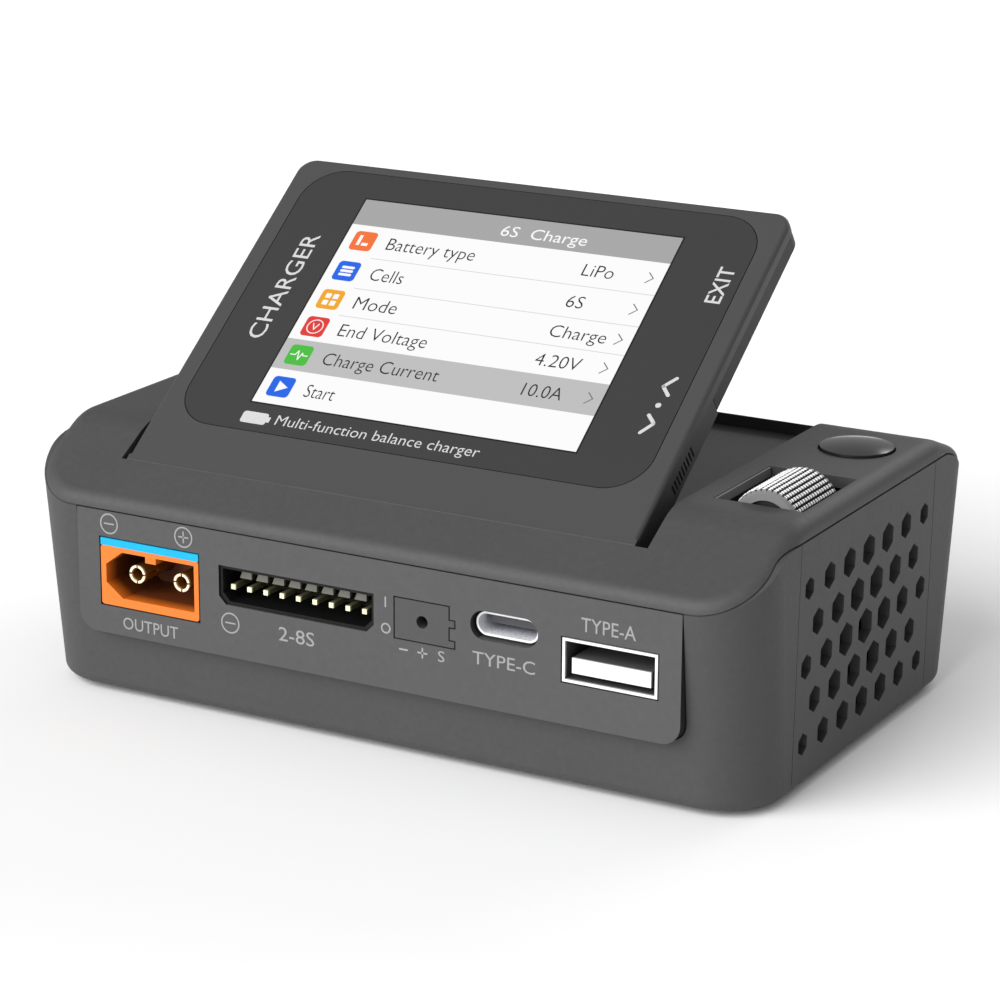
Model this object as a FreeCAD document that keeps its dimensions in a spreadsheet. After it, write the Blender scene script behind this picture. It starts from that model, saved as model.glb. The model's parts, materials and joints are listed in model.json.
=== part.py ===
import FreeCAD, Part
import os
import re
import Sketcher

# Balance battery charger with a tilting colour screen, knurled roller and exit button.
# Frame: +Z up, X to the right seen from the front, +Y to the rear.  The origin is at the
# middle of the base, on the surface that the feet stand on.  All lengths are millimetres.
DIMENSIONS = {
    # case outline and wall
    "case_width": 108.0, "case_depth": 70.9, "case_bottom": 0.8, "corner_radius": 8.6,
    "front_draft": 2.75, "rear_draft": 3.12, "side_draft": 0.35, "bottom_round": 1.6,
    "wall": 2.0, "gap": 0.12, "play": 0.05,
    # seam between lower case and lid
    "seam_low": 26.84, "seam_high": 33.48, "seam_run": 9.35, "seam_bend": 9.0, "seam_gap": 0.2,
    # lid
    "lid_top": 36.0, "lid_wall": 1.5, "lid_round": 2.1, "front_lip": 28.4, "front_run": 13.0,
    "rear_lip": 31.0, "rear_run": 13.4, "lid_bend": 9.0,
    # recess that the closed screen lies in, and the trough for its hinge
    "recess_left": 41.95, "recess_right": 36.6, "recess_rear": 30.6, "recess_corner": 3.6,
    "deck_level": 31.1, "trough_radius": 8.3, "trough_floor": 24.9, "trough_wall": 1.5,
    # hinge
    "hinge_y": -21.15, "hinge_z": 29.4, "screen_tilt": 36.84, "knuckle_radius": 2.2,
    "pin_radius": 0.8, "knuckle_width": 6.0, "cheek": 1.2, "cheek_radius": 1.65,
    "hinge_side_gap": 0.2, "hinge_left": -30.0, "hinge_right": 23.0,
    # screen, in its own flat pose about the hinge axis
    "screen_left": 41.43, "screen_right": 34.6, "screen_front": -4.15, "screen_length": 55.45,
    "screen_face": 6.6, "screen_back_face": 2.0, "screen_corner": 2.6, "bezel_depth": 1.7,
    "bezel_round": 0.6, "cover_inset": 0.05, "block_length": 25.0, "skirt_radius": 7.82,
    "skirt_wall": 1.2, "glass_left": 38.47, "glass_right": 31.69, "glass_front": 3.41,
    "glass_rear": 49.61, "glass_corner": 6.0, "glass_thick": 0.9, "lcd_left": 27.96,
    "lcd_width": 48.93, "lcd_front": 8.21, "lcd_length": 36.76, "lcd_border": 1.6,
    # front panel and its sockets
    "panel_width": 89.4, "panel_bottom": 9.88, "panel_thick": 3.4, "panel_corner": 2.7,
    "output_left": -41.03, "output_width": 15.53, "output_bottom": 13.9, "output_height": 8.2,
    "strip_height": 1.0, "socket_depth": 12.0, "cavity_side": 0.7, "cavity_bottom": 1.17,
    "cavity_height": 6.4, "cavity_chamfer": 2.6, "cavity_chamfer_rise": 1.95,
    "cavity_depth": 9.0, "key_width": 1.65, "key_drop": 0.85, "barrel_spacing": 7.1,
    "barrel_radius": 1.25, "barrel_bore": 0.9, "barrel_setback": 2.2, "barrel_drop": 0.3,
    "balance_left": -22.25, "balance_width": 23.46, "balance_bottom": 17.06,
    "balance_height": 5.18, "balance_chamfer": 1.1, "balance_depth": 9.5,
    "balance_pitch": 2.5, "balance_first": -20.85, "balance_pin": 0.66,
    "balance_pin_level": 19.18, "balance_setback": 1.2, "balance_pins": 9,
    "signal_left": 4.37, "signal_width": 7.85, "signal_bottom": 17.02, "signal_height": 5.33,
    "signal_lug": 0.83, "signal_lug_rise": 2.7, "signal_hole": 0.83, "signal_depth": 6.0,
    "usb_c_left": 15.68, "usb_c_width": 8.94, "usb_c_bottom": 19.21, "usb_c_height": 3.16,
    "usb_c_wall": 0.28, "usb_c_depth": 7.5, "usb_c_recess": 1.0, "usb_c_margin": 0.33,
    "usb_a_left": 28.4, "usb_a_width": 13.1, "usb_a_bottom": 15.5, "usb_a_height": 5.7,
    "usb_a_wall": 0.35, "usb_a_depth": 13.0, "usb_a_tongue": 2.0, "usb_a_tongue_rise": 1.1,
    # rear panel
    "input_left": -38.0,
    # side vents
    "grille_front": -22.0, "grille_rear": 20.3, "grille_thick": 1.6,
    "vent_y": -0.95, "vent_z": 16.9, "vent_pitch_y": 6.07, "vent_pitch_z": 5.12,
    "vent_large": 2.45, "vent_small": 1.5,
    # roller and exit button
    "roller_x": 46.6, "roller_z": 33.05, "roller_radius": 5.0, "roller_front": -16.5,
    "roller_length": 12.0, "axle_radius": 0.75, "window_left": 39.6, "window_right": 51.8,
    "window_front": -16.95, "window_rear": -0.45, "button_x": 45.9, "button_y": 12.95,
    "button_radius": 4.9, "button_gap": 0.22, "button_proud": 0.4, "button_dome": 0.45,
    "switch_stem": 1.2, "switch_size": 6.0, "control_board": 22.4,
    # boards and what stands on them
    "board_thick": 1.6, "main_board": 10.0, "main_left": -39.0, "main_right": 43.5,
    "main_front": -29.0, "main_rear": 28.0,
    # cooling fan
    "fan_size": 24.6, "fan_depth": 9.6, "fan_x": -45.4, "fan_y": 1.5, "fan_z": 16.4,
    "fan_bore": 11.6, "fan_hub": 4.6, "fan_tip": 11.1, "fan_blades": 7, "fan_pin": 0.9,
    # fasteners and feet
    "screw_x": 47.4, "screw_y": 21.3, "screw_radius": 1.3, "screw_head": 2.2,
    "column_radius": 2.4, "column_joint": 12.0, "foot_length": 19.0, "foot_width": 5.0,
    "foot_x": 38.3, "foot_y": 26.4, "foot_bite": 0.6, "foot_ribs": 9,
}

FRONT, REAR, RIGHT, UP, TILTED = "front", "rear", "right", "up", "tilted"
TURN = {
    UP: FreeCAD.Rotation(),
    FRONT: FreeCAD.Rotation(FreeCAD.Vector(1, 0, 0), 90),
    RIGHT: FreeCAD.Rotation(FreeCAD.Vector(1, 1, 1), 120),
}
HALF_TURN = FreeCAD.Rotation(FreeCAD.Vector(0, 0, 1), 180)
TURN[REAR] = HALF_TURN.multiply(TURN[FRONT])
TURN[TILTED] = FreeCAD.Rotation(FreeCAD.Vector(1, 0, 0), DIMENSIONS["screen_tilt"])

doc = FreeCAD.newDocument("BalanceCharger")
sheet = doc.addObject("Spreadsheet::Sheet", "Dimensions")
for row, (alias, number) in enumerate(DIMENSIONS.items(), 1):
    sheet.set("A%d" % row, alias)
    sheet.set("B%d" % row, str(number))
    sheet.setAlias("B%d" % row, alias)
doc.recompute()
subparts = {}


# ---------------------------------------------------------------- expressions and objects
def expand(expression):
    """Write out an expression with every sheet alias in full."""
    def full(match):
        word = match.group()
        return "Dimensions." + word if word in DIMENSIONS else word
    return re.sub(r"[a-z][a-z_]+", full, str(expression))


def size(expression):
    """The value that an expression has now."""
    return float(sheet.evalExpression(expand(expression)))


def tie(thing, **properties):
    """Bind properties to expressions; a double underscore stands for a dot."""
    for name, expression in properties.items():
        thing.setExpression(name.replace("__", "."), expand(expression))
    return thing


def place(thing, x="0", y="0", z="0", turn=UP):
    """Give a thing its turn, and bind its position."""
    thing.Placement = FreeCAD.Placement(FreeCAD.Vector(), TURN[turn])
    return tie(thing, Placement__Base__x=x, Placement__Base__y=y, Placement__Base__z=z)


def keep(label, thing):
    """Register a thing as a sub-part under its label."""
    thing.Label = label
    subparts[label] = thing
    return thing


def keep_on_screen(label, thing):
    """A sub-part drawn in the screen's flat pose, set down tilted about the hinge."""
    place(thing, "0", "hinge_y", "hinge_z", TILTED)
    tie(thing, Placement__Rotation__Angle="screen_tilt")
    return keep(label, thing)


# ---------------------------------------------------------------- Part primitives
def block(name, x, y, z, wide, deep, tall):
    box = doc.addObject("Part::Box", name)
    tie(box, Length=wide, Width=deep, Height=tall)
    return place(box, x, y, z)


def rod(name, x, y, z, radius, length, turn=UP):
    cylinder = doc.addObject("Part::Cylinder", name)
    tie(cylinder, Radius=radius, Height=length)
    return place(cylinder, x, y, z, turn)


def unite(name, *shapes):
    fused = doc.addObject("Part::MultiFuse", name)
    fused.Shapes = list(shapes)
    return fused


def overlap(name, *shapes):
    common = doc.addObject("Part::MultiCommon", name)
    common.Shapes = list(shapes)
    return common


def cut(name, base, *tools):
    result = doc.addObject("Part::Cut", name)
    result.Base = base
    result.Tool = tools[0] if len(tools) == 1 else unite(name + "_tools", *tools)
    return result


def group(name, *shapes):
    """Several loose solids as one compound."""
    compound = doc.addObject("Part::Compound", name)
    compound.Links = list(shapes)
    return compound


# ---------------------------------------------------------------- Part Design helpers
def new_body(name, x="0", y="0", z="0", turn=UP):
    return place(doc.addObject("PartDesign::Body", name), x, y, z, turn)


def new_sketch(body, level):
    """A sketch parallel to the body's XY plane at a height."""
    sketch = body.newObject("Sketcher::SketchObject", body.Name + "_sketch")
    plane = [item for item in body.Origin.OriginFeatures if item.Role == "XY_Plane"][0]
    sketch.AttachmentSupport = [(plane, "")]
    sketch.MapMode = "FlatFace"
    return tie(sketch, AttachmentOffset__Base__z=level)


def draw_polygon(sketch, points):
    """A closed outline whose every corner is bound to two expressions."""
    corners = [FreeCAD.Vector(size(x), size(y), 0) for x, y in points]
    first = sketch.GeometryCount
    count = len(corners)
    for index in range(count):
        line = Part.LineSegment(corners[index], corners[(index + 1) % count])
        sketch.addGeometry(line, False)
    for index in range(count):
        following = first + (index + 1) % count
        sketch.addConstraint(Sketcher.Constraint("Coincident", first + index, 2, following, 1))
    for index, (x, y) in enumerate(points):
        for kind, expression in (("DistanceX", x), ("DistanceY", y)):
            datum = size(expression)
            rule = Sketcher.Constraint(kind, -1, 1, first + index, 1, datum)
            number = sketch.addConstraint(rule)
            sketch.setExpression("Constraints[%d]" % number, expand(expression))


def draw_circle(sketch, x, y, radius):
    circle = Part.Circle(FreeCAD.Vector(size(x), size(y), 0), FreeCAD.Vector(0, 0, 1), size(radius))
    index = sketch.addGeometry(circle, False)
    for kind, expression in (("DistanceX", x), ("DistanceY", y)):
        rule = Sketcher.Constraint(kind, -1, 1, index, 3, size(expression))
        number = sketch.addConstraint(rule)
        sketch.setExpression("Constraints[%d]" % number, expand(expression))
    number = sketch.addConstraint(Sketcher.Constraint("Radius", index, size(radius)))
    sketch.setExpression("Constraints[%d]" % number, expand(radius))


def rectangle(left, low, wide, tall):
    right, high = "%s + %s" % (left, wide), "%s + %s" % (low, tall)
    return [(left, low), (right, low), (right, high), (left, high)]


def pad(body, points, level, length):
    sketch = new_sketch(body, level)
    draw_polygon(sketch, points)
    feature = body.newObject("PartDesign::Pad", body.Name + "_pad")
    feature.Profile = sketch
    tie(feature, Length=length)
    doc.recompute()
    body.Tip = feature
    return feature


def pocket(body, level, length, points=(), circles=()):
    """Cut downwards from a height; the volume has to shrink."""
    before = body.Shape.Volume
    sketch = new_sketch(body, level)
    if points:
        draw_polygon(sketch, points)
    for x, y, radius in circles:
        draw_circle(sketch, x, y, radius)
    feature = body.newObject("PartDesign::Pocket", body.Name + "_pocket")
    feature.Profile = sketch
    tie(feature, Length=length)
    doc.recompute()
    body.Tip = feature
    doc.recompute()
    assert body.Shape.Volume < before - 1e-6, body.Name
    return feature


def upright(edge):
    """A straight edge that climbs more than it runs."""
    start, end = edge.Vertexes[0].Point, edge.Vertexes[-1].Point
    return abs(end.z - start.z) > 2 * abs(end.x - start.x) + 2 * abs(end.y - start.y)


def at_level(level):
    """Chooses the edges that lie at one height."""
    height = size(level)
    return lambda edge: all(abs(vertex.Z - height) < 1e-4 for vertex in edge.Vertexes)


def near(*spots):
    """Chooses upright edges by their place in plan."""
    where = [(size(x), size(y)) for x, y in spots]

    def chosen(edge):
        spot = edge.CenterOfMass
        close = [abs(spot.x - x) + abs(spot.y - y) < 0.5 for x, y in where]
        return upright(edge) and any(close)
    return chosen


def round_off(body, choose, radius, kind="Fillet"):
    """Fillet or chamfer the chosen edges of what the body is so far."""
    tip = body.Tip
    edges = ["Edge%d" % (i + 1) for i, edge in enumerate(tip.Shape.Edges) if choose(edge)]
    assert edges, body.Name
    feature = body.newObject("PartDesign::" + kind, body.Name + "_" + kind.lower())
    feature.Base = (tip, edges)
    tie(feature, **{"Radius" if kind == "Fillet" else "Size": radius})
    doc.recompute()
    body.Tip = feature
    doc.recompute()
    return feature


def slab(name, left, front, wide, deep, level, thick, corner=None, **where):
    """A flat plate in plan with optional rounded corners."""
    body = new_body(name, **where)
    pad(body, rectangle(left, front, wide, deep), level, thick)
    if corner:
        round_off(body, upright, corner)
    return body


def round_edges(name, base, *choices):
    """Fillet a solid's edges; each choice gives a test of an edge and its radius."""
    doc.recompute()
    fillet = doc.addObject("Part::Fillet", name)
    fillet.Base = base
    edges = []
    for number, edge in enumerate(base.Shape.Edges, 1):
        radii = [size(radius) for test, radius in choices if test(edge)]
        if radii:
            edges.append((number, radii[0], radii[0]))
    fillet.Edges = edges
    doc.recompute()
    assert fillet.Shape.isValid() and fillet.Shape.Volume > 0, name
    return fillet


# ---------------------------------------------------------------- case outline
def drafted(reach, draft, level, inset):
    """How far a drafted wall stands from the middle at a level."""
    fall = "(1 - (%s - case_bottom) / (seam_low - case_bottom))" % level
    return "(%s - %s * %s - %s)" % (reach, draft, fall, inset)


def case_form(name, inset, floor, top, *more):
    """The drafted block of the lower case, inset by a wall thickness."""
    front = [drafted("case_depth / 2", "front_draft", level, inset) for level in (floor, top)]
    rear = [drafted("case_depth / 2", "rear_draft", level, inset) for level in (floor, top)]
    side = [drafted("case_width / 2", "side_draft", level, inset) for level in (floor, top)]
    lengthwise = new_body(name + "_lengthwise", "-case_width", "0", "0", RIGHT)
    pad(lengthwise, [("-" + front[0], floor), (rear[0], floor), (rear[1], top), ("-" + front[1], top)],
        "0", "2 * case_width")
    crosswise = new_body(name + "_crosswise", "0", "case_depth", "0", FRONT)
    pad(crosswise, [("-" + side[0], floor), (side[0], floor), (side[1], top), ("-" + side[1], top)],
        "0", "2 * case_depth")
    sharp = overlap(name + "_sharp", lengthwise, crosswise)
    return round_edges(name, sharp, (upright, "corner_radius - " + inset), *more)


def side_profile(name, points, bends, radius):
    """A prism right across the case, drawn in side view and rounded at some corners."""
    body = new_body(name, "-case_width", "0", "0", RIGHT)
    pad(body, points, "0", "2 * case_width")
    round_off(body, near(*bends), radius)
    return body


def below_seam(name, lift):
    """Everything under the seam surface, lifted by a clearance."""
    reach, low, high = "case_depth", "seam_low + " + lift, "seam_high + " + lift
    front, rear = "-case_depth / 2", "case_depth / 2"
    front_top, rear_top = front + " + seam_run", rear + " - seam_run"
    slope = "(seam_high - seam_low) / seam_run"
    points = [("-" + reach, "-5"), (reach, "-5"), (reach, "%s - %s * case_depth / 2" % (low, slope)),
              (rear_top, high), (front_top, high), ("-" + reach, "%s - %s * case_depth / 2" % (low, slope))]
    return side_profile(name, points, [(rear_top, high), (front_top, high)], "seam_bend")


def below_lid(name, drop):
    """Everything under the lid's top surface, lowered by a wall thickness."""
    front, rear = "-case_depth / 2", "case_depth / 2"
    top = "lid_top - " + drop
    front_top, rear_top = front + " + front_run", rear + " - rear_run"
    front_slope = "(lid_top - front_lip) / front_run"
    rear_slope = "(lid_top - rear_lip) / rear_run"
    far_front = "%s - %s * (front_run + 5)" % (top, front_slope)
    far_rear = "%s - %s * (rear_run + 5)" % (top, rear_slope)
    points = [(front + " - 5", "-5"), (rear + " + 5", "-5"), (rear + " + 5", far_rear),
              (rear_top, top), (front_top, top), (front + " - 5", far_front)]
    return side_profile(name, points, [(rear_top, top), (front_top, top)], "lid_bend")


def plan_block(name, inset):
    """An upright block with the lid's plan outline."""
    return slab(name, "-case_width / 2 + " + inset, "-case_depth / 2 + " + inset,
                "case_width - 2 * " + inset, "case_depth - 2 * " + inset,
                "15", "30", "corner_radius - " + inset)


# ---------------------------------------------------------------- lower case
def box_between(name, x, y, z):
    """A block given by its low and high limits along each axis."""
    spans = ["(%s) - (%s)" % (high, low) for low, high in (x, y, z)]
    return block(name, x[0], y[0], z[0], *spans)


def four_corners(x, y):
    return [("%s%s" % (a, x), "%s%s" % (b, y)) for a in ("-", "") for b in ("-", "")]


case_outer = case_form("case_outer", "0", "case_bottom", "seam_high + 1",
                       (at_level("case_bottom"), "bottom_round"))
case_inner = case_form("case_inner", "wall", "case_bottom + wall", "seam_high + 2")
case_block = overlap("case_block", case_outer, below_seam("case_seam", "0"))
case_walls = cut("case_walls", case_block, case_inner)

panel_outline = rectangle("-panel_width / 2", "panel_bottom", "panel_width", "seam_low - panel_bottom")
panel_corners = [("-panel_width / 2", "panel_bottom"), ("panel_width / 2", "panel_bottom")]
slot_outline = rectangle("-panel_width / 2 - gap", "panel_bottom - gap", "panel_width + 2 * gap", "20")


def panel_slot(name, y, turn):
    """The slot in a case wall that a panel drops into from above."""
    body = new_body(name, "0", y, "0", turn)
    pad(body, slot_outline, "-2", "panel_thick + 4")
    corners = [("-panel_width / 2 - gap", "panel_bottom - gap"),
               ("panel_width / 2 + gap", "panel_bottom - gap")]
    round_off(body, near(*corners), "panel_corner")
    return body


def side_opening(name, near_x, far_x, z):
    """An opening for a vent grille, clear of it by the gap."""
    return box_between(name, (near_x, far_x), ("grille_front - gap", "grille_rear + gap"), z)


grille_back = "case_width / 2 - grille_thick - gap"
screw_spots = four_corners("screw_x", "screw_y")
board_spots = [("main_left + 4", "main_front + 5"), ("main_left + 4", "main_rear - 4"),
               ("main_right - 4", "main_front + 5"), ("main_right - 4", "main_rear - 4")]
foot_spots = four_corners("foot_x", "foot_y")
floor_top = "(case_bottom + wall)"

bosses = [rod("boss_%d" % i, x, y, floor_top, "column_radius", "column_joint - 0.1 - " + floor_top)
          for i, (x, y) in enumerate(screw_spots)]
standoffs = [rod("standoff_%d" % i, x, y, floor_top, "2.2", "main_board - " + floor_top)
             for i, (x, y) in enumerate(board_spots)]
case_solid = unite("case_solid", case_walls, *bosses, *standoffs)
case_tools = [
    panel_slot("front_slot", "-case_depth / 2 + panel_thick", FRONT),
    panel_slot("rear_slot", "case_depth / 2 - panel_thick", REAR),
    side_opening("right_rebate", grille_back, "case_width", ("-1", "seam_high + 2")),
    side_opening("right_opening", "case_width / 2 - 4", "case_width", ("4", "seam_high + 2")),
    side_opening("left_rebate", "-case_width", "-(%s)" % grille_back, ("-1", "seam_high + 2")),
    side_opening("left_opening", "-case_width", "-case_width / 2 + 4", ("4", "seam_high + 2")),
]
for i, (x, y) in enumerate(screw_spots):
    case_tools.append(rod("screw_hole_%d" % i, x, y, "0", "screw_radius + 0.15", "column_joint + 1"))
    case_tools.append(rod("head_hole_%d" % i, x, y, "0", "screw_head + 0.1", "case_bottom + 1.8"))
for i, (x, y) in enumerate(board_spots):
    case_tools.append(rod("board_hole_%d" % i, x, y, "5", "1.05", "main_board"))
for i, (x, y) in enumerate(foot_spots):
    case_tools.append(box_between("foot_bed_%d" % i, (x + " - foot_length / 2 - gap",
                                                      x + " + foot_length / 2 + gap"),
                                  (y + " - foot_width / 2 - gap", y + " + foot_width / 2 + gap"),
                                  ("0", "case_bottom + foot_bite")))
keep("base_shell", cut("base_shell", case_solid, *case_tools))


# ---------------------------------------------------------------- side grilles
def vent_holes():
    """Rows of upright hexagons right through both sides, largest in the middle."""
    holes = []
    reach = ((3 * size("vent_pitch_y")) ** 2 + (2 * size("vent_pitch_z")) ** 2) ** 0.5
    for row, count in enumerate((7, 6, 7, 6, 7)):
        for column in range(count):
            y_step, z_step = column - (count - 1) / 2, 2 - row
            away = ((y_step * size("vent_pitch_y")) ** 2 + (z_step * size("vent_pitch_z")) ** 2) ** 0.5
            shrink = (away / reach) ** 1.5
            hexagon = doc.addObject("Part::Prism", "vent_%d_%d" % (row, column))
            hexagon.Polygon = 6
            tie(hexagon, Circumradius="vent_large - (vent_large - vent_small) * %.3f" % shrink,
                Height="2 * case_width")
            place(hexagon, "-case_width", "vent_y + %.1f * vent_pitch_y" % y_step,
                  "vent_z + %d * vent_pitch_z" % z_step, RIGHT)
            hexagon.Placement.Rotation = TURN[RIGHT].multiply(FreeCAD.Rotation(FreeCAD.Vector(0, 0, 1), 30))
            holes.append(hexagon)
    return group("vent_holes", *holes)


vents = vent_holes()
across = ("case_width / 2 - grille_thick", "case_width")
along, upward = ("grille_front", "grille_rear"), ("0", "seam_high + 1")
right_plate = overlap("right_plate", case_block, box_between("right_region", across, along, upward))
keep("right_grille", cut("right_grille", right_plate, vents))
across = ("-case_width", "-case_width / 2 + grille_thick")
left_plate = overlap("left_plate", case_block, box_between("left_region", across, along, upward))
keep("left_grille", cut("left_grille", left_plate, vents))


# ---------------------------------------------------------------- panels
def new_panel(label, y, turn):
    body = new_body(label, "0", y, "0", turn)
    pad(body, panel_outline, "0", "panel_thick")
    round_off(body, near(*panel_corners), "panel_corner")
    return body


def through(body, points=(), circles=()):
    pocket(body, "panel_thick", "panel_thick", points, circles)


def balance_outline(spare):
    """The balance socket's window: a rectangle with its lower corners cut off."""
    left, right = "balance_left - " + spare, "balance_left + balance_width + " + spare
    low, high = "balance_bottom - " + spare, "balance_bottom + balance_height + " + spare
    return [(left + " + balance_chamfer", low), (right + " - balance_chamfer", low),
            (right, low + " + balance_chamfer"), (right, high), (left, high),
            (left, low + " + balance_chamfer")]


def signal_outline(spare):
    """The signal port: a rectangle with two lugs on its right side."""
    left, right = "signal_left - " + spare, "signal_left + signal_width + " + spare
    low, high = "signal_bottom - " + spare, "signal_bottom + signal_height + " + spare
    tip, lug = right + " + signal_lug", "signal_lug + " + spare
    upper = "signal_bottom + signal_lug_rise"
    return [(left, low), (tip, low), (tip, "signal_bottom + " + lug), (right, "signal_bottom + " + lug),
            (right, upper + " - " + spare), (tip, upper + " - " + spare), (tip, upper + " + " + lug),
            (right, upper + " + " + lug), (right, high), (left, high)]


def usb_c_corners(margin):
    left, right = "usb_c_left - (%s)" % margin, "usb_c_left + usb_c_width + (%s)" % margin
    low, high = "usb_c_bottom - (%s)" % margin, "usb_c_bottom + usb_c_height + (%s)" % margin
    return [(left, low), (right, low), (right, high), (left, high)]


front_panel = new_panel("front_panel", "-case_depth / 2 + panel_thick", FRONT)
through(front_panel, rectangle("output_left - 0.2", "output_bottom - 0.2", "output_width + 0.4",
                               "output_height + strip_height + 0.4"))
through(front_panel, balance_outline("0.05"))
through(front_panel, signal_outline("0.18"))
through(front_panel, usb_c_corners("usb_c_margin"))
round_off(front_panel, near(*usb_c_corners("usb_c_margin")), "usb_c_height / 2 + usb_c_margin - 0.02")
through(front_panel, rectangle("usb_a_left - 0.2", "usb_a_bottom - 0.2", "usb_a_width + 0.4",
                               "usb_a_height + 0.4"))
keep("front_panel", front_panel)

rear_panel = new_panel("rear_panel", "case_depth / 2 - panel_thick", REAR)
through(rear_panel, rectangle("input_left - gap", "output_bottom - gap", "output_width + 2 * gap",
                              "output_height + 2 * gap"))
for slot in range(11):
    through(rear_panel, rectangle("-14 + %d * 4.6" % slot, "13.5", "2.2", "9.6"))
keep("rear_panel", rear_panel)


# ---------------------------------------------------------------- power sockets
def power_socket(prefix, left, y, turn):
    """A two-pole socket: a housing with a keyed cavity, and two slotted barrels."""
    housing = new_body(prefix + "_socket", "0", y, "0", turn)
    pad(housing, rectangle(left, "output_bottom", "output_width", "output_height"),
        "panel_thick - socket_depth", "socket_depth")
    round_off(housing, upright, "0.4")
    near_side, far_side = left + " + cavity_side + 0.1", left + " + output_width - cavity_side"
    low = "output_bottom + cavity_bottom"
    high, key = low + " + cavity_height", left + " + output_width / 2 + 0.2"
    key_left, key_right = key + " - key_width / 2", key + " + key_width / 2"
    cavity = [(near_side + " + cavity_chamfer", low), (far_side, low), (far_side, high),
              (key_right, high), (key_right, high + " - key_drop"), (key_left, high + " - key_drop"),
              (key_left, high), (near_side + " + cavity_chamfer", high),
              (near_side, high + " - cavity_chamfer_rise"), (near_side, low + " + cavity_chamfer_rise")]
    pocket(housing, "panel_thick", "cavity_depth", cavity)
    middle, height = left + " + output_width / 2", low + " + cavity_height / 2 - barrel_drop"
    poles = [(middle + " - barrel_spacing / 2", height), (middle + " + barrel_spacing / 2", height)]
    pocket(housing, "panel_thick - cavity_depth", "socket_depth - cavity_depth", (),
           [(x, z, "barrel_radius") for x, z in poles])
    keep(prefix + "_socket", housing)
    barrels = []
    for pole, (x, z) in enumerate(poles):
        name = "%s_barrel_%d" % (prefix, pole)
        barrel = new_body(name)
        sketch = new_sketch(barrel, "panel_thick - socket_depth - 2")
        draw_circle(sketch, x, z, "barrel_radius")
        feature = barrel.newObject("PartDesign::Pad", name + "_pad")
        feature.Profile = sketch
        tie(feature, Length="socket_depth + 2 - barrel_setback")
        doc.recompute()
        barrel.Tip = feature
        pocket(barrel, "panel_thick - barrel_setback", "5", (), [(x, z, "barrel_bore")])
        for wide, tall in (("0.24", "2 * barrel_radius + 1"), ("2 * barrel_radius + 1", "0.24")):
            slit = rectangle("%s - %s / 2" % (x, "(%s)" % wide), "%s - %s / 2" % (z, "(%s)" % tall), wide,
                             tall)
            pocket(barrel, "panel_thick - barrel_setback", "3", slit)
        barrels.append(barrel)
    pins = group(prefix + "_pins", *barrels)
    keep(prefix + "_pins", place(pins, "0", y, "0", turn))


power_socket("output", "output_left", "-case_depth / 2 + panel_thick", FRONT)
power_socket("input", "input_left", "case_depth / 2 - panel_thick", REAR)
keep("output_strip", block("output_strip", "output_left", "-case_depth / 2", "output_bottom + output_height",
                           "output_width", "1.2", "strip_height"))


# ---------------------------------------------------------------- balance socket
pin_blocks = []
for pin in range(int(size("balance_pins"))):
    x = "balance_first + %d * balance_pitch - balance_pin / 2" % pin
    pin_blocks.append(block("balance_pin_%d" % pin, x, "-case_depth / 2 + balance_setback",
                            "balance_pin_level - balance_pin / 2", "balance_pin",
                            "balance_depth + 1", "balance_pin"))
keep("balance_pins", group("balance_pins", *pin_blocks))
balance_body = new_body("balance_body", "0", "-case_depth / 2 + panel_thick", "0", FRONT)
pad(balance_body, balance_outline("0"), "panel_thick - balance_depth", "balance_depth - 0.3")
pocket(balance_body, "panel_thick - 0.3", "balance_depth - 2", balance_outline("-0.4"))
keep("balance_socket", cut("balance_socket", balance_body, subparts["balance_pins"]))

signal_port = new_body("signal_port", "0", "-case_depth / 2 + panel_thick", "0", FRONT)
pad(signal_port, signal_outline("0"), "panel_thick - signal_depth", "signal_depth")
signal_hole = ("signal_left + 4", "signal_bottom + signal_height / 2", "signal_hole")
pocket(signal_port, "panel_thick", "signal_depth - 1", (), [signal_hole])
keep("signal_port", signal_port)


# ---------------------------------------------------------------- USB sockets
usb_c_face = "panel_thick - usb_c_recess"
usb_c_floor = usb_c_face + " - usb_c_depth"


def usb_c_pill(name, margin, length):
    """A bar with the outline of the USB-C port, grown or shrunk by a margin."""
    body = new_body(name, "0", "-case_depth / 2 + panel_thick", "0", FRONT)
    pad(body, usb_c_corners(margin), usb_c_floor, length)
    round_off(body, upright, "usb_c_height / 2 - 0.02 + " + margin)
    return body


usb_c_outside = usb_c_pill("usb_c_outside", "0", "usb_c_depth")
usb_c_inside = usb_c_pill("usb_c_inside", "-usb_c_wall", "usb_c_depth + 1")
keep("usb_c_shell", cut("usb_c_shell", usb_c_outside, usb_c_inside))
usb_c_tongue = usb_c_pill("usb_c_tongue", "-usb_c_wall - 0.03", "1.5")
pad(usb_c_tongue, rectangle("usb_c_left + 1.15", "usb_c_bottom + usb_c_height / 2 - 0.3",
                            "usb_c_width - 2.3", "1.2"), usb_c_floor, "usb_c_depth - 1.6")
keep("usb_c_tongue", usb_c_tongue)

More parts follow.
